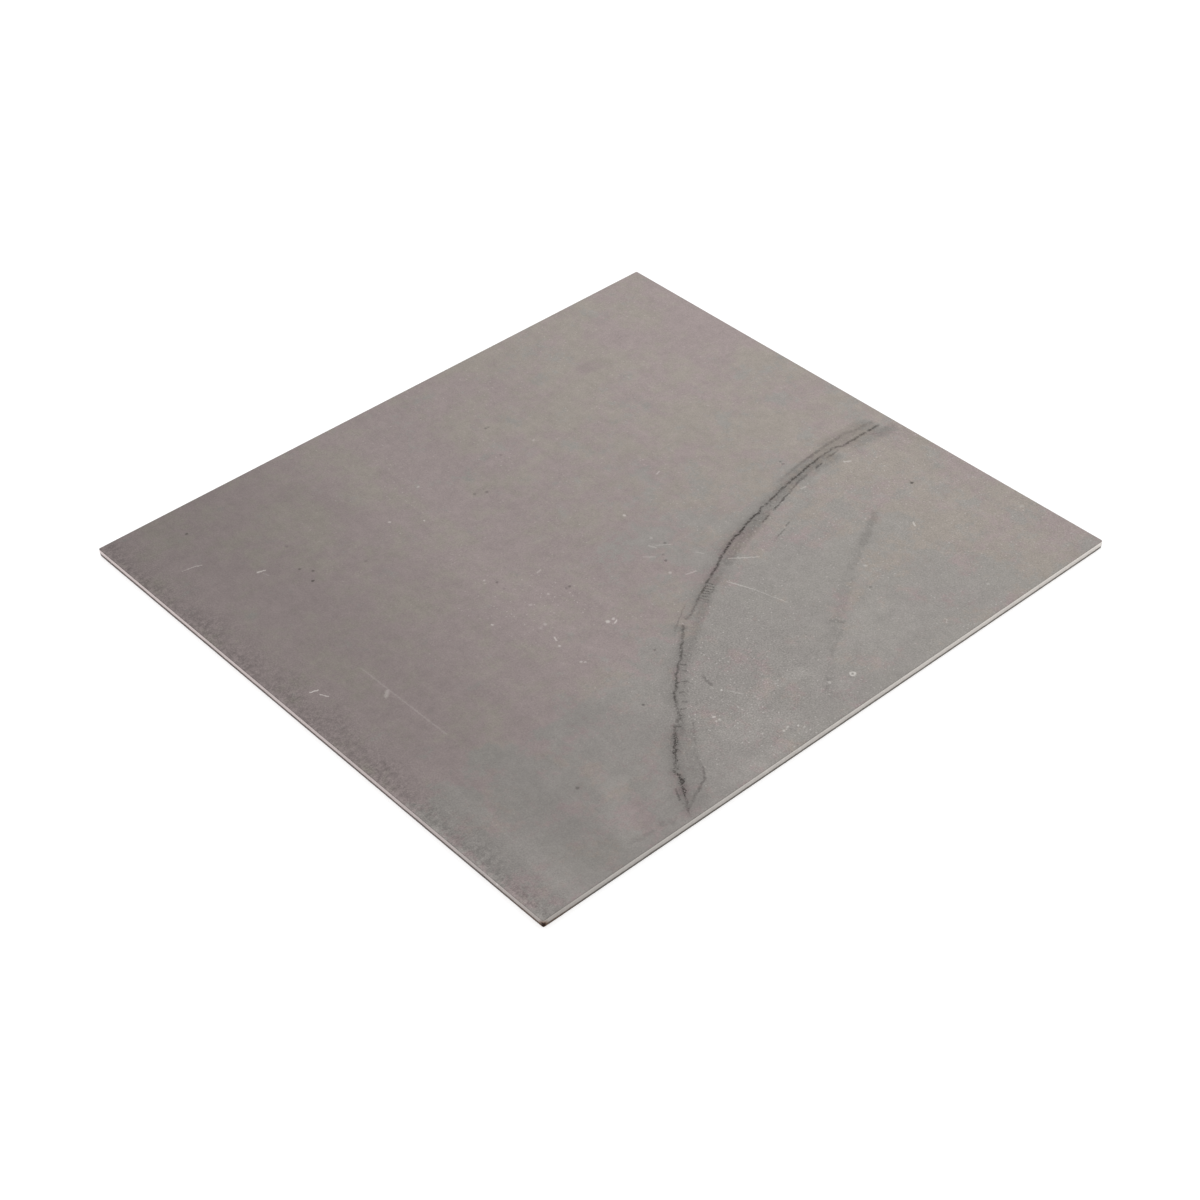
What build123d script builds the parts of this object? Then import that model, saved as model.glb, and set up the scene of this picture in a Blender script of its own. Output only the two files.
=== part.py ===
from build123d import *
import os

# One piece of rolled steel plate, cut to size on all four sides by a guillotine, with the face that the
# blade entered on top. Every cut edge has the section that a guillotine leaves. From the top face down,
# that is a small rollover where the blade pressed the skin down, a bright burnished band that stands
# upright where the blade cut, and a dull torn band that leans in where the rest of the steel broke off.
# Millimetres. X runs along the longer side, Y runs with the rolling direction, and Z is up from the floor.
# The origin is the middle of the bottom face.

# Blank, measured over the burnished bands, where it is largest
LENGTH = 268.0
WIDTH = 250.0
THICKNESS = 3.2

# Sheared edge
PENETRATION = 0.6  # share of the thickness that the blade cuts before the rest breaks off
BREAK_ANGLE = 4.0  # degrees that the torn band leans in from upright
ROLLOVER_RADIUS = 0.2
CORNER_RADIUS = 0.6  # the blunt tip that handling leaves on each corner

cut_depth = THICKNESS * PENETRATION
torn_depth = THICKNESS - cut_depth


def blade_path():
    """The outline that the blades follow, at the height where the cut ends and the break starts."""
    return Plane.XY.offset(torn_depth) * RectangleRounded(LENGTH, WIDTH, CORNER_RADIUS)


def cut_layer():
    """The upper part of the thickness, with upright edges."""
    return extrude(blade_path(), cut_depth)


def torn_layer():
    """The lower part of the thickness, with edges that lean in towards the bottom face."""
    return extrude(blade_path(), -torn_depth, taper=BREAK_ANGLE)


def sheared_plate():
    """Both layers as the one piece that they are, with the skin rolled over along the top edge."""
    blank = cut_layer() + torn_layer()
    top_face = blank.faces().sort_by(Axis.Z)[-1]
    return fillet(top_face.edges(), ROLLOVER_RADIUS)


os.makedirs("parts", exist_ok=True)
export_step(sheared_plate(), "parts/steel_plate.step")
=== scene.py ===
import math
from functools import reduce

import bpy
from bpy.props import FloatProperty, FloatVectorProperty, PointerProperty
from mathutils import Matrix, Vector, noise
from mathutils.geometry import delaunay_2d_cdt


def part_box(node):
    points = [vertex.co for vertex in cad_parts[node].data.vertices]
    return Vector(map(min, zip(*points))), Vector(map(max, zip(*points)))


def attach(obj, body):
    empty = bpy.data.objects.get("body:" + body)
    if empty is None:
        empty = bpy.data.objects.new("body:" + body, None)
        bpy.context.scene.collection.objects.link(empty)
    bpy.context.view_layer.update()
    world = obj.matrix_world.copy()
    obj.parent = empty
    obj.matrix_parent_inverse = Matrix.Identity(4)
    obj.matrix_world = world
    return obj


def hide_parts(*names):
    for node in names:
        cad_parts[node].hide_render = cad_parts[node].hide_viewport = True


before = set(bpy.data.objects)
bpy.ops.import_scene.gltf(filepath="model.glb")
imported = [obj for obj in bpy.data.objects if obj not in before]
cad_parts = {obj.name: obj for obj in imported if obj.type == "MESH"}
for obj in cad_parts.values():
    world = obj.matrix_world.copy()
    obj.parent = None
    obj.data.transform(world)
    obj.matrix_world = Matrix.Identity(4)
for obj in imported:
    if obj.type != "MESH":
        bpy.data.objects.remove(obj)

bl_info = {
    "name": "Sheared steel plate",
    "version": (1, 0, 0),
    "blender": (4, 5, 0),
    "location": "3D View > Sidebar > Steel plate",
    "description": "Dresses a sheared steel plate with torn edges, mill finish, water stains and scratches",
    "category": "Add Mesh",
}

# The plate's frame is the packed model's: X along the longer side, Y with the rolling direction and Z up,
# with the origin in the middle of the bottom face. Lengths are in metres, and the shaders work in mm.
MM = 0.001
NODE = "steel_plate"
LOW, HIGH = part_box(NODE)
LENGTH, WIDTH, THICKNESS = HIGH - LOW
# The plate's sides, in the shaders' mm
LEFT, FRONT, _ = LOW / MM
RIGHT, BACK, _ = HIGH / MM


def screen(red, green, blue):
    """A colour as a screen shows it, from 0 to 255, as the linear colour that a shader takes."""
    shares = [c / 255 for c in (red, green, blue)]
    return tuple(c / 12.92 if c <= 0.04045 else ((c + 0.055) / 1.055) ** 2.4 for c in shares)


def length_property(name, description, millimetres):
    return FloatProperty(
        name=name, description=description, default=millimetres * MM, min=0.0, precision=5,
        unit="LENGTH", subtype="DISTANCE",
    )


def angle_property(name, description, degrees):
    return FloatProperty(
        name=name, description=description, default=math.radians(degrees), unit="ROTATION", subtype="ANGLE"
    )


def share_property(name, description, share):
    return FloatProperty(
        name=name, description=description, default=share, min=0.0, max=1.0, subtype="FACTOR"
    )


def place_property(name, description, x, y):
    return FloatVectorProperty(
        name=name, description=description, default=(x * MM, y * MM), size=2, precision=5, unit="LENGTH"
    )


def colour_property(name, description, red, green, blue):
    return FloatVectorProperty(
        name=name, description=description, default=screen(red, green, blue), size=3, min=0.0, max=1.0,
        subtype="COLOR",
    )


class EdgeShape(bpy.types.PropertyGroup):
    """The section that the guillotine left, and the relief along it."""

    corner_radius: length_property("Corner", "Radius of the blunt corners, seen from above", 0.6)
    rollover_radius: length_property("Rollover", "Radius that the blade pressed into the top edge", 0.2)
    penetration: share_property("Penetration", "Share of the thickness that the blade cut", 0.6)
    break_angle: angle_property("Break angle", "How far the torn band leans in from upright", 4.0)
    step: length_property("Step", "Distance between points along the edge", 0.45)
    drag_depth: length_property("Drag lines", "Depth of the upright grooves in the burnish", 0.015)
    torn_depth: length_property("Torn relief", "Depth of the grain in the torn band", 0.05)
    border_wander: length_property("Border wander", "How far the border between the bands strays", 0.13)
    corner_tear: length_property("Corner tear", "How far the torn band caves in at the corners", 0.08)
    corner_reach: length_property("Corner reach", "How far along the edge a corner's tear fades out", 2.4)


class MillFinish(bpy.types.PropertyGroup):
    """The dull rolled skin of the two faces."""

    mauve: colour_property("Mauve", "The warm violet cast of the skin", 145, 134, 132.5)
    olive: colour_property("Olive", "The yellow cast where oil dried on the skin", 145, 138, 131)
    cool: colour_property("Cool", "The blue green cast of thin patches", 140, 137, 133)
    grain: length_property("Grain", "Size of the finest grain", 0.6)
    mottle: length_property("Mottle", "Size of the largest blotches of the tone", 7.0)
    cloud: length_property("Cloud", "Size of the largest blotches of the tint", 30.0)
    streak: length_property("Streak", "Width of the rolling streaks", 2.2)
    roughness: share_property("Roughness", "Roughness of the rolled skin", 0.5)
    metallic: share_property("Metallic", "How much of the light the bare metal mirrors", 0.85)


class TideLine(bpy.types.PropertyGroup):
    """The tide line that a round puddle left, and the fainter one inside it."""

    middle: place_property("Middle", "Middle of the ring that the puddle's rim is part of", 108.0, -223.3)
    radius: length_property("Radius", "Radius of that ring", 204.0)
    first_turn: angle_property("First turn", "Turn from the back to the line's start at the front", 62.0)
    inner_middle: place_property("Inner middle", "Middle of the fainter ring", 185.9, -291.3)
    inner_radius: length_property("Inner radius", "Radius of the fainter ring", 253.8)
    crinkle: length_property("Crinkle", "How far the line strays from its ring", 0.5)
    dirt: colour_property("Dirt", "What dried in the line", 60, 54, 52)
    bare: colour_property("Bare metal", "The bright metal that scratches and nicks lay open", 205, 201, 196)


class EdgeFinish(bpy.types.PropertyGroup):
    """The colours of the sheared edge."""

    burnish: colour_property("Burnish", "The bright band that the blade polished", 197, 192, 187)
    torn: colour_property("Torn", "The dull band that broke off", 128, 122, 116)
    rosy_burnish: colour_property("Rosy burnish", "The bright band on the left side", 200, 188, 186)
    rosy_torn: colour_property("Rosy torn", "The dull band on the left side", 133, 121, 118)
    nick: colour_property("Nick", "The bare metal in the nicks of the edge", 230, 227, 224)
    rust: colour_property("Rust", "The brown rust round the front corner", 120, 84, 60)
    scale: colour_property("Scale", "The nearly black heart of that rust", 40, 16, 4)


class Studio(bpy.types.PropertyGroup):
    """The camera that looks at the plate."""

    azimuth: angle_property("Azimuth", "Where the camera stands, turned from the front", -40.504)
    elevation: angle_property("Elevation", "How far the camera looks down", 40.412)
    roll: angle_property("Roll", "How far the camera is turned about its own view", -2.039)
    distance: length_property("Distance", "From the camera to the point it looks at", 852.8)
    target: FloatVectorProperty(
        name="Target", description="The point that the camera looks at", size=3,
        default=(-17.74 * MM, -21.24 * MM, 0.2 * MM), unit="LENGTH", subtype="XYZ",
    )
    lens: FloatProperty(
        name="Lens", description="Focal length in millimetres on a 36 mm frame", default=71.744, min=1.0
    )


class Wire:
    """A shader socket in an expression: each operation on it adds the node that does the sum."""

    def __init__(self, recipe, socket):
        self.recipe = recipe
        self.socket = socket

    def __add__(self, other):
        return self.recipe.sum("ADD", self, other)

    def __radd__(self, other):
        return self.recipe.sum("ADD", other, self)

    def __sub__(self, other):
        return self.recipe.sum("SUBTRACT", self, other)

    def __rsub__(self, other):
        return self.recipe.sum("SUBTRACT", other, self)

    def __mul__(self, other):
        return self.recipe.sum("MULTIPLY", self, other)

    def __rmul__(self, other):
        return self.recipe.sum("MULTIPLY", other, self)

    def __truediv__(self, other):
        return self.recipe.sum("DIVIDE", self, other)

    def __rtruediv__(self, other):
        return self.recipe.sum("DIVIDE", other, self)


def is_vector(term):
    """True for a wire or a constant that holds three numbers."""
    if isinstance(term, Wire):
        return term.socket.type in {"VECTOR", "RGBA"}
    return isinstance(term, (tuple, Vector))


class Recipe:
    """The nodes of one material or of the world, built up by expressions."""

    def __init__(self, owner):
        owner.use_nodes = True
        self.tree = owner.node_tree
        self.tree.nodes.clear()

    def node(self, kind, settings=None, sockets=None, output=0):
        """Adds a node: its settings first, then a value or a link for each socket named or numbered."""
        made = self.tree.nodes.new(kind)
        for name, value in (settings or {}).items():
            if name == "points":
                self.draw_curve(made.mapping, value)
            else:
                setattr(made, name, value)
        for name, value in (sockets or {}).items():
            if isinstance(value, Wire):
                self.tree.links.new(value.socket, made.inputs[name])
            else:
                made.inputs[name].default_value = value
        return Wire(self, made.outputs[output]) if made.outputs else made

    @staticmethod
    def draw_curve(mapping, points):
        """Straight lines from point to point, each from 0 to 1 both ways."""
        curve = mapping.curves[0]
        curve.points[0].location, curve.points[1].location = points[0], points[-1]
        for place in points[1:-1]:
            curve.points.new(*place)
        for point in curve.points:
            point.handle_type = "VECTOR"
        mapping.update()

    def sum(self, operation, a, b):
        """One sum, on numbers or on vectors. A vector and a number are only ever multiplied here."""
        if is_vector(a) and is_vector(b):
            return self.node("ShaderNodeVectorMath", {"operation": operation}, {0: a, 1: b})
        if is_vector(a) or is_vector(b):
            vector, factor = (a, b) if is_vector(a) else (b, a)
            return self.node("ShaderNodeVectorMath", {"operation": "SCALE"}, {0: vector, "Scale": factor})
        return self.node("ShaderNodeMath", {"operation": operation}, {0: a, 1: b})

    def maths(self, operation, *terms):
        return self.node("ShaderNodeMath", {"operation": operation}, dict(enumerate(terms)))

    def most(self, terms):
        """The greatest of several values."""
        return reduce(lambda found, term: self.maths("MAXIMUM", found, term), terms)

    def slope(self, value, start, end, first, last):
        """Runs evenly from first to last while the value goes from start to end, and stops there."""
        sockets = {"Value": value, "From Min": start, "From Max": end, "To Min": first, "To Max": last}
        return self.node("ShaderNodeMapRange", None, sockets)

    def drawn(self, value, points, low, high):
        """A curve drawn through given pairs of the value and the height there, which is from low to high.
        """
        first, last = points[0][0], points[-1][0]
        run, rise = last - first, high - low
        shares = [((place - first) / run, (height - low) / rise) for place, height in points]
        along = (value - first) * (1 / run)
        return self.node("ShaderNodeFloatCurve", {"points": shares}, {"Value": along}) * rise + low

    def ramp(self, value, start, end, top=1.0):
        """0 up to start, the top from end on, and a soft rise between. With end under start it falls."""
        low, high, first, last = (start, end, 0.0, top) if start < end else (end, start, top, 0.0)
        sockets = {"Value": value, "From Min": low, "From Max": high, "To Min": first, "To Max": last}
        return self.node("ShaderNodeMapRange", {"interpolation_type": "SMOOTHSTEP"}, sockets)

    def stripe(self, value, rim, core):
        """1 while the value is within core of 0 either way, falling softly to 0 at the rim."""
        return self.ramp(self.maths("ABSOLUTE", value), rim, core)

    def mix(self, share, first, second):
        """The first colour, with that share of the second laid over it."""
        colours = [(*c, 1.0) if isinstance(c, tuple) and len(c) == 3 else c for c in (first, second)]
        settings = {"data_type": "RGBA", "clamp_factor": True}
        return self.node("ShaderNodeMix", settings, {0: share, 6: colours[0], 7: colours[1]}, output=2)

    def point(self, x, y, z=0.0):
        return self.node("ShaderNodeCombineXYZ", None, {0: x, 1: y, 2: z})

    def parts(self, vector):
        made = self.node("ShaderNodeSeparateXYZ", None, {0: vector}).socket.node
        return [Wire(self, output) for output in made.outputs]

    def grain(self, place, size, detail=2.0, roughness=0.5, seed=0.0, dimensions="2D"):
        """Soft noise from about -1 to 1. Size is that of one blotch, the same or one for each axis."""
        sizes = size if isinstance(size, tuple) else (size, size, size)
        scaled = place * tuple(1.0 / s for s in sizes) + (seed, -seed, 0.37 * seed)
        settings = {"noise_dimensions": dimensions}
        sockets = {"Vector": scaled, "Scale": 1.0, "Detail": detail, "Roughness": roughness}
        return self.node("ShaderNodeTexNoise", settings, sockets) * 4.0 - 2.0

    def frayed(self, place, size, reach, detail=3.0, roughness=0.7, seed=0.0):
        """The place, moved by up to reach, so that what is drawn there gets a ragged rim."""
        shifted = place * (1 / size) + (seed, seed, 0.0)
        sockets = {"Vector": shifted, "Scale": 1.0, "Detail": detail, "Roughness": roughness}
        moved = self.node("ShaderNodeTexNoise", {"noise_dimensions": "2D"}, sockets, output="Color")
        return place + (moved - (0.5, 0.5, 0.5)) * (4 * reach)

    def scatter(self, place, spacing, radius, share, seed=0.0):
        """Round specks of several sizes up to radius, one in that share of the cells of a loose grid."""
        cells = self.node("ShaderNodeTexVoronoi", {"voronoi_dimensions": "2D"},
                          {"Vector": place * (1 / spacing) + (seed, seed, 0.0), "Scale": 1.0})
        chance, size, _ = self.parts(Wire(self, cells.socket.node.outputs["Color"]))
        reach = (0.35 + size * 0.65) * (radius / spacing)
        return self.ramp(cells / reach, 1.0, 0.5) * self.ramp(chance, 1.0 - share, 1.01 - share)

    def far_from(self, place, spot):
        """How far a place is from a spot, which has two numbers on a flat face and three in the round."""
        sockets = {0: place, 1: (*spot, 0.0)[:3]}
        return self.node("ShaderNodeVectorMath", {"operation": "DISTANCE"}, sockets, output=1)

    def ring(self, place, middle, radius, first_turn=0.0):
        """A ring's own directions: how far along it a place is from its first turn, clockwise, and how far
        outside it. Turns are in radians, counted from the back to the left."""
        from_middle = place - (*middle, 0.0)
        x, y, _ = self.parts(from_middle)
        turn = self.maths("ARCTAN2", 0.0 - x, y)
        return (first_turn - turn) * radius, self.far_from(place, middle) - radius

    def dot(self, place, middle, radius, softness=0.5, strength=1.0):
        """A round spot: its strength inside, 0 outside, with a rim of that share of the radius."""
        gap = self.far_from(place, middle)
        return self.ramp(gap, radius * (1 + softness), radius * (1 - softness), strength)

    def line(self, place, start, end, width, strength):
        """A straight stroke from start to end, with round ends and a soft rim."""
        a, b = Vector((*start, 0.0)), Vector((*end, 0.0))
        run = b - a
        from_start = place - tuple(a)
        sockets = {0: from_start, 1: tuple(run / run.length_squared)}
        along = self.node("ShaderNodeVectorMath", {"operation": "DOT_PRODUCT"}, sockets, output=1)
        share = self.node("ShaderNodeClamp", None, {"Value": along})
        aside = {0: from_start - share * tuple(run)}
        gap = self.node("ShaderNodeVectorMath", {"operation": "LENGTH"}, aside, output=1)
        return self.ramp(gap, width, width * 0.2, strength)


def material(name):
    made = bpy.data.materials.new(name)
    return made, Recipe(made)


def place_in_mm(recipe):
    """Where a point of the plate is, in millimetres."""
    return recipe.node("ShaderNodeTexCoord", None, None, output="Object") * (1 / MM)


def in_mm(place):
    """A place from the panel, in the shaders' millimetres."""
    return tuple(c / MM for c in place)


# How far a height of 1 stands out on the rolled skin and on the cut edge
FACE_RELIEF = 0.012 * MM
EDGE_RELIEF = 0.03 * MM


def finish_surface(recipe, colour, roughness, height, depth, metallic):
    """The metal shader of every surface. Depth is how far a height of 1 stands out, in metres."""
    bumped = recipe.node("ShaderNodeBump", None, {"Strength": 1.0, "Distance": depth, "Height": height})
    sockets = {"Base Color": colour, "Roughness": roughness, "Metallic": metallic, "Normal": bumped}
    shader = recipe.node("ShaderNodeBsdfPrincipled", None, sockets)
    recipe.node("ShaderNodeOutputMaterial", None, {"Surface": shader})


def mill_skin(recipe, place, finish, seed, oily, thinned, coarse=0.0):
    """Colour, tone and height of the bare rolled skin, before any mark. Oily moves the tint towards olive,
    thinned moves it towards the cool cast, and coarse is by how much the finest grain is stronger."""
    tint = recipe.grain(place, finish.cloud / MM, 6.0, 0.85, seed) + oily
    colour = recipe.mix(recipe.ramp(tint, -0.45, 0.45), tuple(finish.mauve), tuple(finish.olive))
    thin = recipe.grain(place, finish.cloud / MM * 0.5, 5.0, 0.8, seed + 2.0) + thinned
    colour = recipe.mix(recipe.ramp(thin, 0.1, 0.7) * 0.85, colour, tuple(finish.cool))
    mottle = recipe.grain(place, finish.mottle / MM, 4.2, 1.0, seed + 5.0)
    grain = recipe.grain(place, finish.grain / MM, 1.0, 0.7, seed + 3.0)
    streak_width = finish.streak / MM
    streak = recipe.grain(place, (streak_width, 90.0, 90.0), 2.0, 0.6, seed + 9.0)
    broad_streak = recipe.grain(place, (streak_width * 6, 260.0, 260.0), 1.0, 0.5, seed + 11.0)
    tone = 1.0 + mottle * 0.112 + grain * (coarse * 0.08 + 0.08)
    tone = tone + streak * 0.014 + broad_streak * 0.013
    height = grain * 0.7 + streak * 0.3
    return colour, tone, height


def broad_tone_and_painted_light(recipe, x, y, place):
    """The tone of the face at large, with painted light in it: painted shade towards the left and the back,
    partly the skin's own darker tone, a painted sheen towards the right, and a grimy rim on the left.
    """
    sway = recipe.grain(place, (30.0, 120.0, 120.0), 2.0, 0.5, 81.0)
    across = recipe.ramp(x + sway * 5.0 - recipe.slope(y, 0.0, BACK, 0.0, 7.0), -112.0, -18.0)
    # Painted shade: the face darker towards the back
    tone = 0.976 - recipe.slope(y, -75.0, 15.0, 0.0, 0.055) - recipe.slope(y, 60.0, BACK, 0.0, 0.035)
    # Painted shade towards the left, partly the skin's own darker tone there
    shade = recipe.slope(y, FRONT, -40.0, 0.12, 0.204) + recipe.slope(y, 40.0, BACK, 0.0, 0.02)
    tone = tone * (1.0 - shade * (1.0 - across))
    # Painted sheen of the soft box: the face lighter towards the right
    tone = tone + recipe.slope(x, -10.0, 110.0, 0.0, 1.0) * recipe.slope(y, FRONT, BACK, 0.172, 0.189)
    blotches = recipe.grain(place, (2.8, 1.9, 1.9), 5.0, 0.9, 83.0)
    low = recipe.ramp(y, -30.0, -75.0)
    patches = recipe.grain(place, (11.0, 17.0, 17.0), 2.0, 0.6, 87.0)
    rim = recipe.ramp(x + blotches * 4.5 + patches * 4.0, LEFT + 15.5, LEFT + 1.0)
    tone = tone - rim * (recipe.ramp(blotches, -0.3, 0.4) * 0.245 - 0.022 - low * 0.025)
    tone = tone + recipe.ramp(x, LEFT + 2.5, LEFT + 0.5) * (0.055 + low * 0.11)
    pale_streak = recipe.stripe(x + 118.5 + sway, 4.5, 0.8)
    dark_streak = recipe.stripe(x + 101.0 + sway, 12.0, 2.0) * recipe.ramp(y, -60.0, -100.0)
    corner = recipe.ramp(y, -85.0, -115.0) * recipe.stripe(x + 119.0, 13.0, 3.0)
    tone = tone + pale_streak * (0.006 + low * 0.05) - dark_streak * 0.05 + corner * 0.045
    wide_streak = recipe.stripe(x + 41.0 + sway, 15.0, 4.0) * recipe.ramp(y, 50.0, 16.0)
    return tone + wide_streak * 0.036


# All marks below are in mm. The main line of the tide mark, from the plate's front side to its right one:
# how far along its ring, and how far outside it
BENDS = (
    (4.0, 0.4), (14.0, 0.1), (21.0, -0.4), (23.5, 0.1), (25.0, 1.6), (27.0, 0.6), (33.0, 0.3),
    (36.0, -0.2), (43.0, -0.5), (46.8, -1.2), (50.0, -3.0), (54.0, -1.9), (57.0, -1.3),
    (60.5, -0.3), (66.0, -0.9), (69.5, -0.8), (72.5, 0.0), (75.0, -1.0), (76.6, -0.4), (80.0, -1.1),
    (83.0, -0.9), (88.0, -0.3), (93.0, 0.1), (95.5, 0.8), (98.3, 1.1), (101.0, 1.0), (104.0, -0.1),
    (110.0, -0.5), (118.0, -0.7), (126.0, -0.9), (132.5, -1.3), (136.0, -0.6), (141.0, -0.4),
    (147.0, -0.2), (151.5, -0.4), (153.5, -0.9), (158.0, -0.4), (166.0, -0.8), (168.5, -1.2),
    (170.5, -0.2), (172.5, -1.0), (185.0, -0.7), (196.0, -0.4), (208.5, 0.2), (218.5, 0.4),
    (221.0, -1.2), (233.0, -0.8), (241.0, -0.2),
)
# How much dirt dried along it
INK = (
    (4.0, 0.1), (7.0, 0.4), (13.0, 0.5), (15.0, 0.9), (23.0, 0.9), (25.0, 0.6), (33.0, 0.65),
    (35.0, 0.85), (42.0, 0.85), (44.0, 0.45), (47.5, 0.55), (48.3, 0.0), (50.5, 0.2), (51.5, 0.6),
    (55.0, 0.4), (59.5, 0.62), (72.0, 0.6), (74.0, 0.5), (88.0, 0.55), (90.0, 0.4), (93.0, 0.38),
    (97.5, 0.6), (98.6, 0.0), (100.5, 0.0), (102.0, 0.38), (107.0, 0.3), (112.0, 0.48),
    (120.0, 0.66), (128.0, 0.58), (133.0, 0.72), (136.5, 0.48), (141.0, 0.76), (152.0, 0.84),
    (165.0, 0.82), (172.0, 0.68), (180.0, 0.64), (190.0, 0.66), (208.0, 0.72), (210.0, 0.3),
    (216.0, 0.5), (220.0, 0.55), (232.5, 0.6), (233.5, 0.25), (235.0, 0.72), (239.0, 0.5),
    (241.0, 0.0),
)
# Side lines, teeth and dashes of the mark, along and outside the ring: start, end, half width and darkness
BRANCHES = (
    ((12.5, 2.2), (17.5, 2.3), 0.6, 0.42),
    ((8.5, -0.4), (15.0, -4.4), 0.8, 0.22),
    ((15.0, -4.6), (20.5, -7.7), 0.7, 0.38),
    ((20.5, -7.8), (26.0, -8.1), 0.7, 0.36),
    ((26.0, -8.0), (32.0, -6.8), 0.7, 0.12),
    ((37.5, -6.9), (50.0, -6.6), 0.5, 0.18),
    ((46.9, 0.7), (46.4, -2.6), 0.5, 0.45),
    ((49.2, -1.2), (51.4, -3.0), 1.0, 0.4),
    ((55.2, -2.4), (55.4, -4.6), 0.5, 0.5),
    ((58.8, -3.2), (58.9, -5.2), 0.5, 0.36),
    ((63.4, -2.2), (64.0, -5.2), 0.55, 0.36),
    ((68.8, -0.8), (69.2, -4.4), 0.5, 0.48),
    ((74.6, -0.9), (74.8, -3.9), 0.5, 0.5),
    ((77.3, -0.8), (77.7, -3.2), 0.6, 0.5),
    ((82.5, -0.9), (82.6, -2.9), 0.55, 0.48),
    ((72.6, -9.4), (68.0, -12.6), 0.9, 0.34),
    ((94.0, 3.4), (108.0, 3.0), 0.5, 0.25),
    ((153.6, -0.6), (153.9, -2.2), 0.45, 0.34),
    ((162.4, -0.6), (162.8, -2.7), 0.5, 0.38),
    ((167.6, -0.8), (167.9, -2.5), 0.45, 0.34),
    ((172.5, -1.0), (173.3, -2.8), 0.5, 0.4),
    ((154.0, -14.1), (158.6, -14.0), 0.45, 0.2),
    ((158.6, -14.0), (163.5, -14.3), 0.5, 0.4),
    ((165.4, -13.7), (168.8, -13.5), 0.5, 0.42),
    ((163.5, -5.2), (168.5, -5.1), 0.6, 0.55),
    ((171.5, -5.1), (184.0, -4.2), 0.6, 0.62),
    ((184.0, -3.9), (197.0, -2.8), 0.7, 0.36),
    ((203.0, -2.9), (206.5, -2.5), 0.7, 0.5),
    ((211.0, -2.0), (217.0, -1.8), 0.7, 0.4),
    ((187.0, 2.5), (196.0, 3.2), 1.0, 0.1),
    ((196.0, 3.3), (205.0, 3.4), 0.9, 0.2),
    ((205.0, 3.3), (212.0, 3.4), 1.0, 0.34),
    ((213.0, 3.6), (224.0, 3.8), 1.0, 0.25),
    ((224.0, 3.8), (239.0, 2.4), 1.3, 0.16),
)
# Soft grey veils beside it
VEILS = (
    ((10.0, -4.2), (46.0, -5.0), 5.0, 0.09),
    ((12.0, -1.0), (46.0, -1.2), 3.4, 0.12),
    ((43.0, -2.6), (52.0, -2.8), 2.6, 0.16),
    ((54.0, -3.0), (66.0, -3.4), 2.6, 0.1),
    ((66.0, -2.6), (90.0, -2.2), 3.2, 0.12),
    ((86.0, -3.4), (114.0, -3.8), 3.0, 0.12),
    ((114.0, -2.8), (131.0, -3.2), 3.0, 0.15),
    ((136.0, -3.2), (168.0, -3.6), 3.8, 0.19),
    ((172.0, -1.4), (212.0, -0.6), 4.6, 0.18),
    ((194.0, 2.2), (238.0, 2.0), 3.4, 0.14),
    ((200.0, -3.4), (214.0, -3.8), 3.0, 0.11),
    ((216.0, 4.4), (236.0, 3.8), 4.2, 0.12),
    ((224.0, -3.2), (243.0, -4.6), 4.4, 0.13),
)


def strokes(recipe, place, marks):
    """The strongest of several strokes at a place."""
    return recipe.most(recipe.line(place, *mark) for mark in marks)


def spots(recipe, place, marks, softness=0.5):
    """The strongest of several round marks at a place."""
    return recipe.most(
        recipe.dot(place, middle, radius, softness, strength) for middle, radius, strength in marks
    )


def tide_line(recipe, place, marks):
    """The main tide line: how much dirt dried in it, and how much its veil dulls the skin. It is the drawn
    line with its beads, its branches and a short comb of teeth."""
    run, out = recipe.ring(place, in_mm(marks.middle), marks.radius / MM, marks.first_turn)
    along = recipe.frayed(recipe.point(run, out), 3.5, marks.crinkle / MM, 4.0, 0.8, 21.0)
    run, out, _ = recipe.parts(along)
    beads = recipe.grain(along, 1.3, 3.0, 0.8, 23.0)
    rag = recipe.grain(along, 0.5, 1.0, 0.5, 27.0) * recipe.ramp(run, 72.0, 45.0)
    ink = recipe.drawn(run, INK, 0.0, 1.0)
    off_line = recipe.maths("ABSOLUTE", out - recipe.drawn(run, BENDS, -4.0, 4.0) + rag * 0.7)
    core = recipe.ramp(off_line - beads * 0.3, 0.75, 0.0) * recipe.ramp(beads, -1.1, 0.3) * ink
    branches = strokes(recipe, along, BRANCHES) * recipe.ramp(beads, -1.1, 0.2)
    teeth = recipe.ramp(recipe.maths("PINGPONG", run + beads * 0.15, 0.72), 0.4, 0.1)
    combed = recipe.ramp(run, 111.0, 114.0) * recipe.ramp(run, 125.0, 121.5)
    combed = combed * recipe.ramp(out, -4.7, -4.1) * recipe.ramp(out, 0.0, -0.8)
    teeth = teeth * combed * recipe.ramp(beads, -1.0, 0.6) * 0.6
    dirt = recipe.most((core, branches, teeth))
    halo = recipe.ramp(off_line, 2.6, 0.2) * 0.16 + recipe.ramp(off_line, 7.5, 0.5) * 0.09
    veil = recipe.most((halo * ink, strokes(recipe, along, VEILS) * (0.9 + beads * 0.5)))
    return dirt, veil


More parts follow.
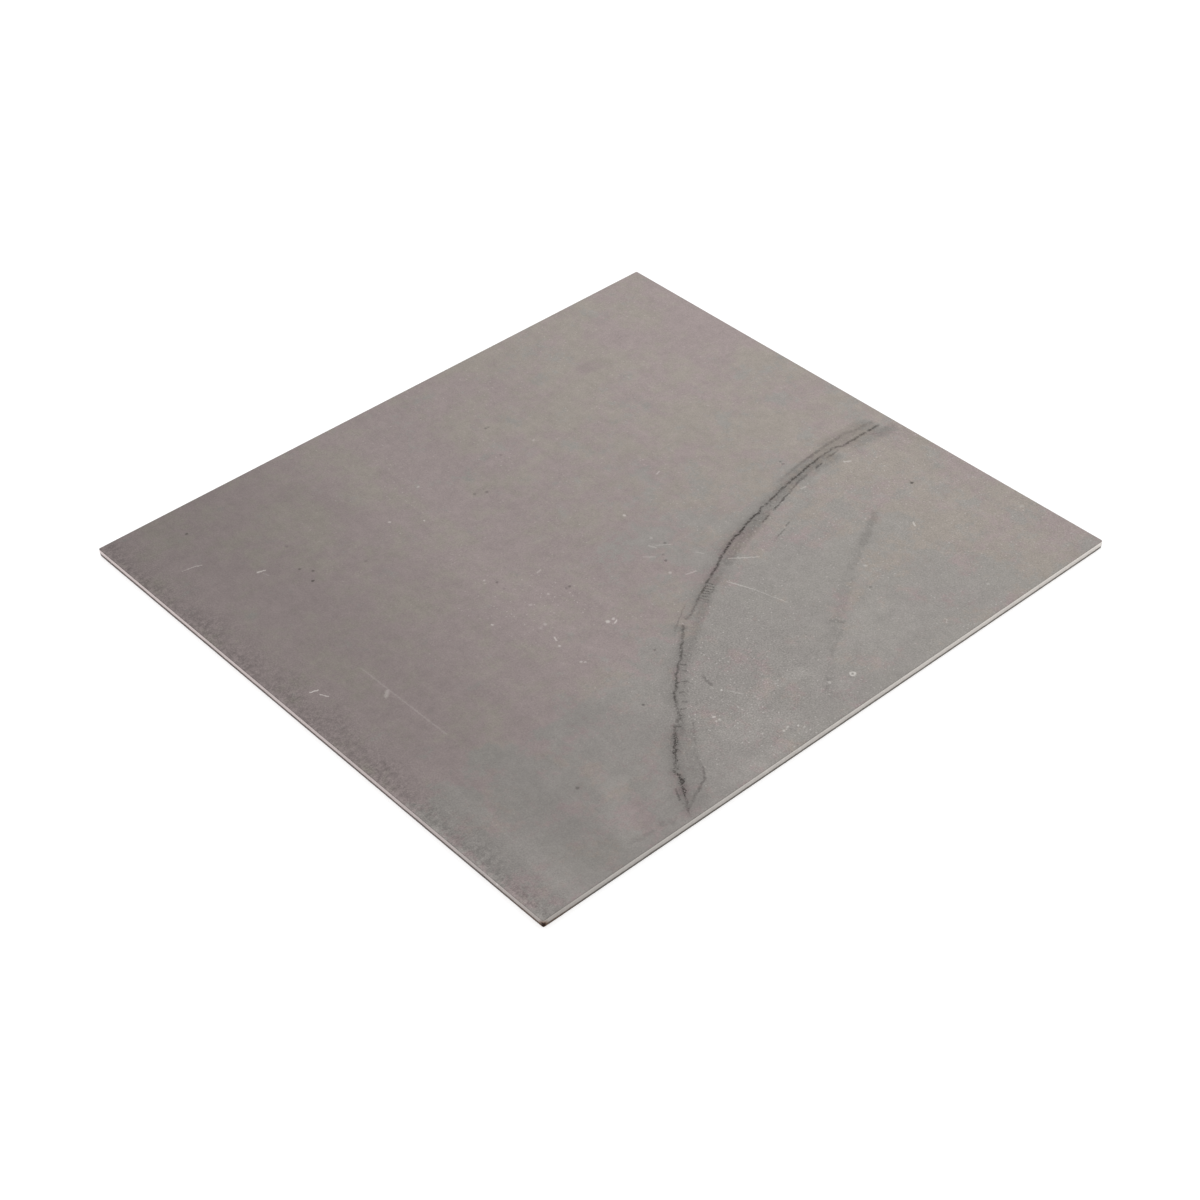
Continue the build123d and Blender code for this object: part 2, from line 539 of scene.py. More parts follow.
# Darker marks along the fainter line: start, end, half width and strength, in the plate's own x and y, as
# all marks from here on
INNER_MARKS = (
    ((31.0, -88.0), (34.0, -91.5), 1.4, 0.22),
    ((3.0, -112.5), (9.0, -108.5), 1.3, 0.15),
    ((9.0, -107.5), (16.0, -104.0), 1.1, 0.11),
    ((17.5, -101.5), (22.0, -98.0), 1.2, 0.16),
    ((23.0, -97.5), (30.0, -94.0), 1.3, 0.14),
    ((38.0, -86.5), (54.0, -77.0), 1.8, 0.1),
    ((57.0, -73.5), (66.0, -69.0), 1.7, 0.13),
    ((70.0, -66.2), (78.0, -62.2), 2.6, 0.19),
    ((80.0, -60.5), (86.0, -57.5), 2.7, 0.2),
)


def inner_tide(recipe, place, marks):
    """How much the fainter line inside the main one dulls the skin."""
    rough = recipe.frayed(place, 3.0, 0.7, 3.0, 0.8, 31.0)
    _, out = recipe.ring(rough, in_mm(marks.inner_middle), marks.inner_radius / MM)
    x, _, _ = recipe.parts(place)
    blotches = recipe.grain(place, 2.4, 4.0, 0.8, 33.0)
    body = recipe.stripe(out, 2.6, 0.2) * recipe.ramp(blotches, -0.9, 0.4) * 0.1
    ends = recipe.ramp(x, -2.0, 6.0) * recipe.ramp(x, 92.0, 82.0)
    return recipe.most((body * ends, strokes(recipe, rough, INNER_MARKS) * (0.9 + blotches * 0.5)))


# Smudges and scratches on the face: start, end, half width and strength
PALE_SMUDGES = (
    ((-92.0, -117.0), (-79.0, -96.0), 8.0, 0.09),
    ((-46.0, -121.0), (-12.0, -121.0), 7.0, 0.085),
    ((-32.0, -106.0), (-16.0, -112.0), 9.0, 0.09),
    ((-30.0, -112.0), (-22.0, -100.0), 4.0, 0.09),
    ((-22.0, -100.0), (-6.0, -97.0), 4.0, 0.09),
    ((-6.0, -97.0), (6.0, -101.0), 4.5, 0.09),
    ((6.0, -101.0), (3.0, -111.0), 4.0, 0.08),
    ((10.0, -114.0), (18.0, -104.0), 7.0, 0.06),
    ((16.0, -103.0), (48.0, -93.0), 8.0, 0.06),
    ((24.0, -112.0), (50.0, -106.0), 8.0, 0.055),
    ((-104.2, 2.0), (-104.6, -38.0), 2.2, 0.05),
    ((-134.0, -125.0), (-129.5, -119.5), 2.2, 0.08),
)
GRIMY_SMUDGES = (
    ((-92.0, -119.4), (-70.0, -121.0), 1.8, 0.13),
    ((121.0, -24.0), (129.0, -28.0), 3.2, 0.06),
    ((129.0, -28.0), (132.5, -41.0), 2.0, 0.07),
    ((82.0, -22.0), (98.0, -23.0), 5.0, 0.06),
    ((-62.0, 104.0), (-54.0, 78.0), 7.0, 0.05),
    ((-12.0, 54.0), (-8.5, 54.2), 2.2, 0.06),
    ((-42.0, -31.0), (-36.0, -34.0), 3.0, 0.07),
    ((70.0, 87.0), (79.0, 86.0), 5.0, 0.07),
    ((-66.0, -62.0), (-49.0, -92.0), 12.0, 0.055),
)
SCRATCHES = (
    ((29.0, -38.8), (37.4, -45.5), 0.5, 0.27),
    ((19.6, -47.7), (23.6, -57.5), 0.4, 0.3),
    ((23.6, -57.5), (27.0, -70.5), 0.35, 0.25),
    ((-119.0, 92.6), (-114.0, 91.7), 0.35, 0.25),
    ((-114.0, 91.7), (-112.0, 90.6), 0.4, 0.34),
    ((-99.6, 73.2), (-96.8, 72.2), 0.5, 0.42),
    ((-98.2, 71.2), (-97.4, 68.6), 0.45, 0.12),
    ((-124.0, 8.1), (-121.4, 7.2), 0.45, 0.55),
    ((-122.2, 5.0), (-120.7, 2.2), 0.35, 0.45),
    ((-103.8, 6.0), (-103.2, -40.0), 0.5, 0.09),
    ((-106.4, -11.4), (-104.2, -9.4), 1.1, 0.2),
    ((-45.5, -29.6), (-44.9, -27.8), 0.4, 0.4),
    ((-26.4, 2.9), (-24.4, 3.4), 0.5, 0.22),
    ((-24.6, -36.8), (-23.0, -36.1), 0.5, 0.5),
    ((-20.4, -89.0), (-17.6, -94.0), 0.28, 0.3),
    ((12.0, -34.7), (15.7, -35.8), 0.55, 0.24),
    ((23.0, -28.0), (24.6, -30.6), 0.5, 0.16),
    ((15.2, -15.2), (17.2, -16.6), 0.6, 0.16),
    ((17.2, -16.6), (19.8, -18.8), 0.35, 0.25),
    ((7.4, -16.8), (10.4, -19.8), 0.7, 0.14),
    ((13.2, -13.6), (14.2, -16.0), 0.7, 0.2),
    ((44.3, 16.0), (46.2, 16.4), 0.5, 0.32),
    ((77.2, -27.9), (79.4, -28.4), 0.6, 0.28),
    ((91.4, -72.3), (92.5, -70.4), 0.55, 0.5),
    ((59.3, -116.5), (60.7, -115.4), 0.45, 0.22),
    ((100.8, -27.6), (102.8, -29.0), 0.65, 0.4),
)
# Bright specks and dark pits: middle, radius and strength
SPECKS = (
    ((-25.8, -34.5), 0.75, 0.45),
    ((-23.4, -34.7), 0.6, 0.36),
    ((-42.7, -20.4), 0.7, 0.22),
    ((-45.2, -21.0), 0.7, 0.14),
    ((-46.6, -32.5), 0.5, 0.36),
    ((-46.6, -43.9), 0.55, 0.3),
    ((-45.6, -45.0), 0.5, 0.28),
    ((-56.4, -7.8), 0.45, 0.4),
    ((-31.2, -8.7), 0.55, 0.25),
    ((-39.6, -8.9), 0.6, 0.18),
    ((-42.9, 12.8), 0.5, 0.26),
    ((-37.0, 54.8), 0.4, 0.4),
    ((-46.8, 63.0), 0.55, 0.3),
    ((-25.8, 72.4), 0.6, 0.24),
    ((8.3, -30.0), 0.6, 0.3),
    ((16.8, -10.8), 0.7, 0.18),
    ((18.7, 5.9), 0.6, 0.4),
    ((24.8, 64.5), 0.6, 0.2),
    ((128.3, -91.6), 0.9, 0.16),
    ((-32.6, -95.2), 0.55, 0.45),
    ((-33.6, -97.2), 0.42, 0.34),
    ((-32.2, -97.4), 0.45, 0.35),
    ((-21.6, -87.4), 0.42, 0.5),
    ((-20.4, -116.0), 0.45, 0.42),
    ((-18.2, -115.6), 0.42, 0.4),
    ((-15.2, -117.6), 0.4, 0.45),
    ((-14.2, -119.4), 0.4, 0.35),
    ((7.6, -110.0), 0.65, 0.35),
    ((61.7, -75.6), 0.7, 0.3),
    ((85.6, -112.6), 0.7, 0.22),
)
PITS = (
    ((-105.5, 109.5), 0.55, 0.6),
    ((-83.0, 78.0), 0.7, 0.25),
    ((-87.3, 64.1), 0.6, 0.5),
    ((-87.8, 55.4), 0.6, 0.7),
    ((-84.4, 59.9), 0.55, 0.58),
    ((-67.0, 51.0), 0.6, 0.22),
    ((-13.2, 54.2), 0.6, 0.36),
    ((-9.1, 52.0), 0.6, 0.42),
    ((-8.9, 54.2), 0.5, 0.25),
    ((9.6, 66.0), 0.6, 0.28),
    ((11.8, -23.9), 0.6, 0.5),
    ((13.4, -20.9), 0.5, 0.28),
    ((18.5, -16.3), 0.5, 0.45),
    ((109.6, -54.1), 0.7, 0.75),
    ((-40.3, 8.8), 0.55, 0.48),
    ((-40.6, 4.3), 0.5, 0.2),
    ((-45.8, -74.6), 0.5, 0.6),
    ((-24.0, -56.8), 0.5, 0.4),
    ((-22.8, -10.8), 0.6, 0.48),
    ((-24.4, -10.7), 0.55, 0.3),
    ((16.4, 83.3), 0.55, 0.38),
    ((17.6, 83.1), 0.5, 0.3),
    ((54.4, -85.0), 0.5, 0.35),
    ((-88.2, -89.0), 0.7, 0.5),
    ((83.5, -10.9), 0.45, 0.4),
    ((83.2, -12.6), 0.5, 0.5),
)
NICKED_RING = (16.5, -112.3)
NICKED_RADIUS = 0.85
# Where the tint leans towards the cool cast, and towards olive: middle, radius and strength
THIN_PATCHES = (
    ((28.0, -32.0), 36.0, 0.6),
    ((78.0, -108.0), 24.0, 0.6),
    ((14.0, -19.0), 9.0, 0.9),
    ((66.0, -44.0), 30.0, 0.5),
)
OILY_PATCHES = (
    ((-72.0, 96.0), 22.0, 0.4),
    ((-42.0, 84.0), 15.0, 0.3),
    ((66.0, 104.0), 16.0, 0.3),
)


def stained_face(name, finish, marks, has_tide_mark):
    """The upper face: rolled skin, tide lines, smudges, scratches, specks and pits. Faces that the main
    tide mark can't reach go without its sums, because those take long to render."""
    made, recipe = material(name)
    x, y, _ = recipe.parts(place_in_mm(recipe))
    place = recipe.point(x, y)
    drift = recipe.grain(place, 30.0, 4.0, 0.7, 91.0)
    washed = recipe.ramp(y + drift * 12.0, -46.0, -64.0) * recipe.ramp(x + drift * 25.0, 95.0, 25.0)
    thinned = washed * 0.95 + recipe.slope(x, -60.0, 120.0, -0.3, 0.1)
    thinned = thinned + spots(recipe, place, THIN_PATCHES, 0.7)
    violet = recipe.dot(place, (110.0, 82.0), 34.0, 0.6) * 0.5
    oily = recipe.slope(x, -30.0, 100.0, -0.25, 0.26) + spots(recipe, place, OILY_PATCHES, 0.6) - violet
    oily = oily - recipe.slope(x, RIGHT - 20.0, RIGHT, 0.0, 0.4)
    oily = oily - recipe.slope(x, LEFT + 18.0, LEFT + 6.0, 0.0, 0.18)
    _, outside = recipe.ring(place, in_mm(marks.middle), marks.radius / MM)
    inside = recipe.ramp(outside + drift * 4.0, 3.0, -6.0)
    gritty = recipe.dot(place, (-14.0, -88.0), 34.0, 0.6)
    coarse = inside * 0.45 + gritty * 0.9 + recipe.ramp(x, LEFT + 20.0, LEFT + 6.0) * 0.7
    colour, tone, height = mill_skin(recipe, place, finish, 1.0, oily, thinned - violet, coarse)
    tone = tone * broad_tone_and_painted_light(recipe, x, y, place)

    near = recipe.frayed(place, 0.9, 0.22, 2.0, 0.7, 95.0)
    soft = recipe.frayed(place, 9.0, 2.4, 3.0, 0.7, 97.0)
    dirt, veil = tide_line(recipe, place, marks) if has_tide_mark else (0.0, 0.0)
    dull = inner_tide(recipe, place, marks) + strokes(recipe, soft, GRIMY_SMUDGES)
    pale = strokes(recipe, soft, PALE_SMUDGES)
    tone = tone * (1.0 - veil - dull + pale)

    eye = recipe.stripe(recipe.far_from(near, NICKED_RING) - NICKED_RADIUS, 0.5, 0.1) * 0.55
    bright = recipe.most((strokes(recipe, near, SCRATCHES), spots(recipe, near, SPECKS), eye))
    worn = recipe.ramp(drift, -0.25, 0.35)
    scattered = recipe.scatter(near, 1.9, 0.4, 0.35, 5.0) * recipe.slope(x, -90.0, -30.0, 0.3, 1.0)
    freckled = recipe.dot(place, (-43.0, -8.0), 20.0, 0.6)
    scattered = scattered * (0.06 + worn * 0.12 + inside * 0.1 + gritty * 0.08 + freckled * 0.1)
    bright = recipe.most((bright, scattered))
    dimples = recipe.scatter(near, 2.2, 0.4, 0.3, 9.0) * (0.05 + inside * 0.06 + gritty * 0.07)
    pits = recipe.most((spots(recipe, near, PITS), dimples))

    colour = recipe.mix(dirt, colour * tone, tuple(marks.dirt))
    colour = recipe.mix(pits, colour, tuple(marks.dirt))
    colour = recipe.mix(bright, colour, tuple(marks.bare))
    roughness = finish.roughness + veil * 0.4 + dirt * 0.2 - bright * 0.15
    finish_surface(recipe, colour, roughness, height, FACE_RELIEF, finish.metallic)
    return made


def plain_underside(finish):
    """The lower face: the same skin with its own clouds."""
    made, recipe = material("mill_underside")
    place = place_in_mm(recipe)
    colour, tone, height = mill_skin(recipe, place, finish, 40.0, -0.1, 0.1)
    finish_surface(recipe, colour * tone, finish.roughness, height, FACE_RELIEF, finish.metallic)
    return made


RUST_SPOT = (LEFT + 0.1, FRONT + 0.1, 1.2)
# Bright nicks in the edges: middle, radius and strength
EDGE_NICKS = (
    ((LEFT, -103.0, 2.4), 0.5, 0.6),
    ((LEFT, -41.0, 2.2), 0.4, 0.4),
    ((LEFT, 66.0, 2.5), 0.4, 0.4),
    ((-22.0, FRONT, 2.3), 0.45, 0.4),
    ((74.0, FRONT, 2.5), 0.4, 0.4),
)


def sheared_edge(finish, mill):
    """The cut edge: burnish above and torn band below, with painted light that makes both brighter away
    from the front corner, painted shade low on the burnish and at the foot of the torn band, and the rust
    at that corner."""
    made, recipe = material("sheared_edge")
    place = place_in_mm(recipe)
    x, y, _ = recipe.parts(place)
    band = recipe.node("ShaderNodeAttribute", {"attribute_name": "band"}, None, output="Fac")
    drag = recipe.grain(place, (0.35, 0.35, 6.0), 2.0, 0.6, 61.0, "3D")
    crystal = recipe.grain(place, 0.4, 3.0, 0.7, 63.0, "3D")
    blotches = recipe.grain(place, 6.0, 4.0, 0.8, 65.0, "3D")
    on_back = recipe.ramp(y, BACK - 2.0, BACK - 0.5)
    rosy = recipe.ramp((x - LEFT) * (1.0 - on_back * 0.985), 0.7, 0.3)
    rosy = rosy * recipe.slope(y, FRONT + 3.0, -50.0, 0.35, 1.0)
    border = band + recipe.slope(x, LEFT, LEFT + 10.0, 0.0, 0.22)
    border = border - rosy * recipe.slope(y, -60.0, 60.0, 0.0, 0.1)
    torn_share = recipe.ramp(border + crystal * 0.04 + blotches * 0.05, 0.05, -0.1)
    # Painted light: the burnish lit brighter towards the right and the back
    painted_lamp_light = recipe.slope(x, LEFT, RIGHT, 0.93, 1.5) * recipe.slope(y, FRONT, BACK, 1.0, 1.36)
    painted_lamp_light = recipe.maths("MINIMUM", painted_lamp_light, 1.56)
    polish = recipe.mix(rosy, tuple(finish.burnish), tuple(finish.rosy_burnish))
    # Painted reflection: the lower burnish darkens downwards as it mirrors the floor's shadow by the plate
    painted_lower_shade = recipe.slope(band, 0.35, 0.85, 0.13, 0.0) * (1.0 - rosy)
    burnish = (1.0 + drag * 0.06 + blotches * 0.07) * (1.0 - painted_lower_shade) * painted_lamp_light * polish
    # Painted light on the torn band, brighter towards the right and the back, and painted shade at its
    # foot, a contact shadow together with a dirt line
    dull = recipe.slope(x, LEFT, RIGHT, 0.9, 1.3) * recipe.slope(y, FRONT, BACK, 0.96, 1.0)
    dull = dull * recipe.slope(band, -1.0, -0.3, 0.86, 1.0)
    break_colour = recipe.mix(rosy, tuple(finish.torn), tuple(finish.rosy_torn))
    torn = (1.0 + crystal * 0.14 + blotches * 0.07) * dull * break_colour
    colour = recipe.mix(torn_share, burnish, torn)
    colour = recipe.mix(spots(recipe, place, EDGE_NICKS), colour, tuple(finish.nick))
    from_rust = recipe.far_from(place, RUST_SPOT) + crystal * 0.3
    stain = recipe.ramp(from_rust, 24.0, 3.0) * (0.09 + torn_share * 0.22)
    colour = recipe.mix(stain, colour, tuple(finish.rust))
    colour = recipe.mix(recipe.ramp(from_rust, 2.4, 0.9) * 0.8, colour, tuple(finish.rust))
    colour = recipe.mix(recipe.ramp(from_rust, 1.4, 0.7), colour, tuple(finish.scale))
    roughness = 0.35 + torn_share * 0.35
    height = drag * 0.3 + crystal * torn_share
    finish_surface(recipe, colour, roughness, height, EDGE_RELIEF, mill.metallic)
    return made


ARC_STEPS = 5  # faces round a quarter turn of a corner


def walk_outline(corner_radius, step):
    """Points round the plate, anticlockwise from the left end of the front side, each with its outward
    normal."""
    sides = [
        (Vector((1, 0)), Vector((0, -1)), LENGTH, WIDTH),
        (Vector((0, 1)), Vector((1, 0)), WIDTH, LENGTH),
        (Vector((-1, 0)), Vector((0, 1)), LENGTH, WIDTH),
        (Vector((0, -1)), Vector((-1, 0)), WIDTH, LENGTH),
    ]
    points = []
    for along, outward, run, across in sides:
        straight = run - 2 * corner_radius
        steps = round(straight / step)
        start = outward * across / 2 - along * straight / 2
        for k in range(steps + 1):
            distance = straight * k / steps
            points.append((start + along * distance, outward))
        pivot = outward * (across / 2 - corner_radius) + along * straight / 2
        for k in range(1, ARC_STEPS):
            turn = math.pi / 2 * k / ARC_STEPS
            normal = outward * math.cos(turn) + along * math.sin(turn)
            points.append((pivot + normal * corner_radius, normal))
    return points


ROLLOVER_STEPS = 4
LAND_STEPS = 4
TORN_STEPS = 9
# Rings on the flat faces that keep the edge's shading to itself: on top counted from the outline, and below
# from the end of the torn band
TOP_INSETS = (0.5 * MM, 0.33 * MM)
BOTTOM_INSETS = (0.12 * MM, 0.3 * MM)
# Inset and spacing of the rings between the edge and the grid of the flat faces
SPARSE_RINGS = ((1.5 * MM, 1.5 * MM), (4.0 * MM, 3.5 * MM))
GRID = 8 * MM
# How fast the relief changes, in waves of noise per mm
TORN_GRAIN = 0.55
DRAG_LINES = 0.8
BORDER_SWELL = 0.12
BORDER_RIPPLE = 0.7


def relief_at(place, height, shape):
    """How far the torn band is eaten in at a point of it. The grain is a little finer up and down."""
    spot = Vector((place.x, place.y, height * 1.6)) / MM
    coarse = noise.fractal(spot * TORN_GRAIN, 0.8, 2.0, 3)
    return shape.torn_depth * max(0.0, 0.5 + 0.5 * coarse)


def nearness_to_corner(place, shape):
    """1 at a corner of the plate, fading to 0 along both its sides."""
    gap = Vector((LENGTH / 2 - abs(place.x), WIDTH / 2 - abs(place.y))).length
    return math.exp(-((gap / shape.corner_reach) ** 2))


def edge_section(place, shape):
    """The plate's section at a point of its outline, from the top face to the bottom face: for each row,
    its inset, its height and its band, which is 1 at the rollover, 0 at the border and -1 at the bottom."""
    spot = Vector((place.x, place.y, 0.0)) / MM
    near = nearness_to_corner(place, shape)
    border = THICKNESS * (1 - shape.penetration)
    wander = noise.noise(spot * BORDER_SWELL) + 0.5 * noise.noise(spot * BORDER_RIPPLE)
    border += shape.border_wander * wander
    border += near * shape.corner_tear
    drag = shape.drag_depth * (0.5 + 0.5 * noise.noise(spot * DRAG_LINES))
    radius = shape.rollover_radius
    rows = [(inset, THICKNESS, 1.0) for inset in TOP_INSETS]
    for k in range(ROLLOVER_STEPS + 1):
        turn = math.pi / 2 * k / ROLLOVER_STEPS
        inset = radius * (1 - math.sin(turn)) + drag * k / ROLLOVER_STEPS
        rows.append((inset, THICKNESS - radius * (1 - math.cos(turn)), 1.0))
    for k in range(1, LAND_STEPS + 1):
        share = k / LAND_STEPS
        height = (THICKNESS - radius) * (1 - share) + border * share
        rows.append((drag, height, 1 - share))
    for k in range(1, TORN_STEPS + 1):
        share = k / TORN_STEPS
        height = border * (1 - share)
        lean = (border - height) * math.tan(shape.break_angle)
        inset = drag + lean + relief_at(place, height, shape) + near * shape.corner_tear * share
        rows.append((inset, height, -share))
    last = rows[-1][0]
    return rows + [(last + inset, 0.0, -1.0) for inset in BOTTOM_INSETS]


def cap_points(inset, spacing):
    """Points on a ring inside the outline, that far in and about that far apart."""
    half_x, half_y = LENGTH / 2 - inset, WIDTH / 2 - inset
    count_x, count_y = round(2 * half_x / spacing), round(2 * half_y / spacing)
    ring = [Vector((-half_x + 2 * half_x * k / count_x, -half_y)) for k in range(count_x)]
    ring += [Vector((half_x, -half_y + 2 * half_y * k / count_y)) for k in range(count_y)]
    return ring + [-p for p in ring]


KEEP_INSIDE = 1  # what the triangulation gives back: only what lies inside the outline
SAME_PLACE = 1e-9  # points nearer than this are one


def fill_cap(ring):
    """Triangles that fill the flat face inside a ring of points, small by the ring and larger inwards."""
    inner = [p for inset, spacing in SPARSE_RINGS for p in cap_points(inset, spacing)]
    reach = SPARSE_RINGS[-1][0] + GRID / 2
    count_x, count_y = round((LENGTH - 2 * reach) / GRID), round((WIDTH - 2 * reach) / GRID)
    for i in range(count_x + 1):
        for j in range(count_y + 1):
            x = -LENGTH / 2 + reach + (LENGTH - 2 * reach) * i / count_x
            y = -WIDTH / 2 + reach + (WIDTH - 2 * reach) * j / count_y
            inner.append(Vector((x, y)))
    outline = [tuple(range(len(ring)))]
    return delaunay_2d_cdt(list(ring) + inner, [], outline, KEEP_INSIDE, SAME_PLACE, True)


# How far inside and outside its ring the main tide mark can be
TIDE_INSIDE = 20 * MM
TIDE_OUTSIDE = 13 * MM


def near_tide_mark(corners, marks):
    """Whether a face of the flat top may show some of the main tide mark."""
    middle = Vector(marks.middle)
    return any(-TIDE_INSIDE < (corner - middle).length - marks.radius < TIDE_OUTSIDE for corner in corners)


# The finishes of the plate, by material slot
FACE, EDGE, UNDERSIDE, CLEAR_FACE = range(4)
SHARP_ANGLE = math.radians(50)


def make_plate_mesh(shape, marks):
    """The closed mesh of the plate, with the band of each point and the finish of each face."""
    outline = walk_outline(shape.corner_radius, shape.step)
    sections = [edge_section(place.to_3d(), shape) for place, _ in outline]
    rows = len(sections[0])
    count = len(outline)
    points, bands = [], []
    for row in range(rows):
        for (place, normal), section in zip(outline, sections):
            inset, height, band = section[row]
            points.append((*(place - normal * inset), height))
            bands.append(band)
    faces, finishes = [], []
    face_rows = len(TOP_INSETS) + ROLLOVER_STEPS
    edge_rows = rows - 1 - len(BOTTOM_INSETS)
    for row in range(rows - 1):
        upper, lower = row * count, (row + 1) * count
        for k in range(count):
            after = (k + 1) % count
            faces.append((upper + k, lower + k, lower + after, upper + after))
            finishes.append(FACE if row < face_rows else EDGE if row < edge_rows else UNDERSIDE)
    for first, height, finish in ((0, THICKNESS, FACE), ((rows - 1) * count, 0.0, UNDERSIDE)):
        ring = [Vector(points[first + k][:2]) for k in range(count)]
        places, _, triangles, _, _, _ = fill_cap(ring)
        numbers = []
        for k, place in enumerate(places):
            if k < count:
                numbers.append(first + k)
            else:
                numbers.append(len(points))
                points.append((*place, height))
                bands.append(1.0 if finish == FACE else -1.0)
        for triangle in triangles:
            corners = tuple(numbers[k] for k in triangle)
            faces.append(corners if finish == FACE else corners[::-1])
            clear = finish == FACE and not near_tide_mark([places[k] for k in triangle], marks)
            finishes.append(CLEAR_FACE if clear else finish)
    mesh = bpy.data.meshes.new("sheared_plate")
    mesh.from_pydata(points, [], faces)
    mesh.polygons.foreach_set("material_index", finishes)
    mesh.attributes.new("band", "FLOAT", "POINT").data.foreach_set("value", bands)
    mesh.shade_smooth()
    mesh.set_sharp_from_angle(angle=SHARP_ANGLE)
    return mesh


class MakePlate(bpy.types.Operator):
    """Lay the plate with its sheared edges and its finish over the solid."""

    bl_idname = "steel_plate.make_plate"
    bl_label = "Make plate"

    def execute(self, context):
        scene = context.scene
        mesh = make_plate_mesh(scene.edge_shape, scene.tide_line)
        plate = bpy.data.objects.new("sheared_plate", mesh)
        scene.collection.objects.link(plate)
        for finish in (
            stained_face("mill_face", scene.mill_finish, scene.tide_line, has_tide_mark=True),
            sheared_edge(scene.edge_finish, scene.mill_finish),
            plain_underside(scene.mill_finish),
            stained_face("mill_face_clear", scene.mill_finish, scene.tide_line, has_tide_mark=False),
        ):
            mesh.materials.append(finish)
        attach(plate, "root")
        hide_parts(NODE)
        return {"FINISHED"}


SEEN = ("Is Camera Ray", "Is Glossy Ray", "Is Transmission Ray")


def rays(recipe, *kinds):
    """1 for rays of any of those kinds and 0 for the others."""
    path = recipe.node("ShaderNodeLightPath").socket.node
    return recipe.most(Wire(recipe, path.outputs[kind]) for kind in kinds)


WHITE = (1.0, 1.0, 1.0, 1.0)
PAPER = (0.8, 0.8, 0.8, 1.0)
FLOOR_SIZE = 12.0
FLOOR_GAP = 0.05 * MM  # keeps the floor from flickering through the plate's bottom face
# The floor's own light, so that it shows nearly white: for what sees or mirrors it, and more for the camera
SEEN_GLOW = 0.45
CAMERA_GLOW = 0.15


def make_floor():
    mesh = bpy.data.meshes.new("floor")
    half = FLOOR_SIZE / 2
    corners = [(x * half, y * half, -FLOOR_GAP) for x, y in ((-1, -1), (1, -1), (1, 1), (-1, 1))]
    mesh.from_pydata(corners, [], [(0, 1, 2, 3)])
    floor = bpy.data.objects.new("floor", mesh)
    bpy.context.scene.collection.objects.link(floor)
    made, recipe = material("pale_floor")
    paper = recipe.node("ShaderNodeBsdfDiffuse", None, {"Color": PAPER})
    strength = rays(recipe, "Is Camera Ray") * CAMERA_GLOW + rays(recipe, *SEEN) * SEEN_GLOW
    glow = recipe.node("ShaderNodeEmission", None, {"Color": WHITE, "Strength": strength})
    both = recipe.node("ShaderNodeAddShader", None, {0: paper, 1: glow})
    recipe.node("ShaderNodeOutputMaterial", None, {"Surface": both})
    mesh.materials.append(made)


WORLD_LEVEL = 0.6  # what the white surroundings give as light. They are seen as pure white.


def make_world():
    world = bpy.data.worlds.new("studio")
    bpy.context.scene.world = world
    recipe = Recipe(world)
    strength = WORLD_LEVEL + rays(recipe, *SEEN) * (1.0 - WORLD_LEVEL)
    white = recipe.node("ShaderNodeBackground", None, {"Color": WHITE, "Strength": strength})
    recipe.node("ShaderNodeOutputWorld", None, {"Surface": white})


LAMP_PLACE = Vector((0.9, 1.1, 1.6))
LAMP_SIZE = 1.2
LAMP_POWER = 4.0


def make_lamp():
    """A square soft box that faces the plate."""
    light = bpy.data.lights.new("soft_box", "AREA")
    light.size = LAMP_SIZE
    light.energy = LAMP_POWER
    lamp = bpy.data.objects.new("soft_box", light)
    lamp.location = LAMP_PLACE
    lamp.rotation_euler = LAMP_PLACE.to_track_quat("Z", "Y").to_euler()
    bpy.context.scene.collection.objects.link(lamp)


SENSOR_WIDTH = 36.0
UP = Vector((0.0, 0.0, 1.0))


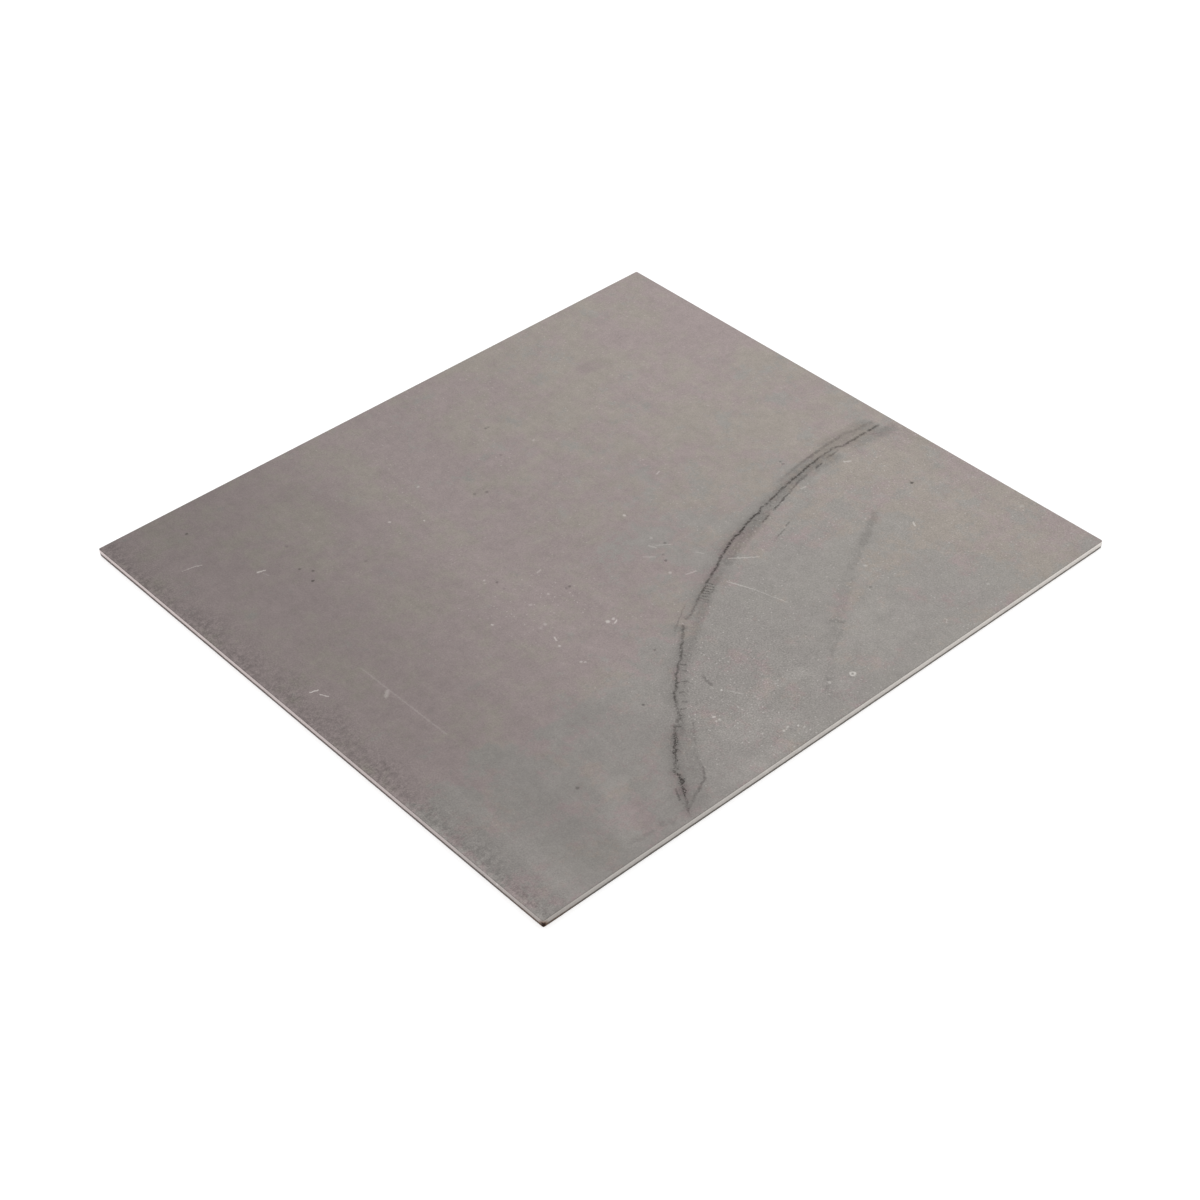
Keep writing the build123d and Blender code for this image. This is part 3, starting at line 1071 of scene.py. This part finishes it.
def make_camera(studio):
    camera = bpy.data.cameras.new("camera")
    camera.sensor_width = SENSOR_WIDTH
    camera.lens = studio.lens
    away = Vector((math.sin(studio.azimuth), -math.cos(studio.azimuth), 0.0))
    backward = away * math.cos(studio.elevation) + UP * math.sin(studio.elevation)
    right = UP.cross(backward).normalized()
    up = backward.cross(right)
    turned_right = right * math.cos(studio.roll) + up * math.sin(studio.roll)
    turned_up = up * math.cos(studio.roll) - right * math.sin(studio.roll)
    holder = bpy.data.objects.new("camera", camera)
    axes = Matrix((turned_right, turned_up, backward)).transposed().to_4x4()
    holder.matrix_world = Matrix.Translation(Vector(studio.target) + backward * studio.distance) @ axes
    bpy.context.scene.collection.objects.link(holder)
    bpy.context.scene.camera = holder


class MakeStage(bpy.types.Operator):
    """Put up the floor, the light and the camera."""

    bl_idname = "steel_plate.make_stage"
    bl_label = "Make stage"

    def execute(self, context):
        make_floor()
        make_world()
        make_lamp()
        make_camera(context.scene.studio)
        context.scene.view_settings.view_transform = "Standard"
        return {"FINISHED"}


GROUPS = {
    "edge_shape": EdgeShape,
    "mill_finish": MillFinish,
    "tide_line": TideLine,
    "edge_finish": EdgeFinish,
    "studio": Studio,
}


class PlatePanel(bpy.types.Panel):
    """The plate's sizes, colours and makers."""

    bl_idname = "VIEW3D_PT_steel_plate"
    bl_label = "Steel plate"
    bl_space_type = "VIEW_3D"
    bl_region_type = "UI"
    bl_category = "Steel plate"

    def draw(self, context):
        for name, group in GROUPS.items():
            box = self.layout.box()
            box.label(text=group.__doc__.rstrip("."))
            for key in group.__annotations__:
                box.prop(getattr(context.scene, name), key)
        self.layout.operator(MakePlate.bl_idname)
        self.layout.operator(MakeStage.bl_idname)


CLASSES = (*GROUPS.values(), MakePlate, MakeStage, PlatePanel)


def register():
    for kind in CLASSES:
        bpy.utils.register_class(kind)
    for name, group in GROUPS.items():
        setattr(bpy.types.Scene, name, PointerProperty(type=group))


def unregister():
    for name in GROUPS:
        delattr(bpy.types.Scene, name)
    for kind in reversed(CLASSES):
        bpy.utils.unregister_class(kind)


def main():
    register()
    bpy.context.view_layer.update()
    bpy.ops.steel_plate.make_plate()
    bpy.ops.steel_plate.make_stage()


if __name__ == "__main__":
    main()
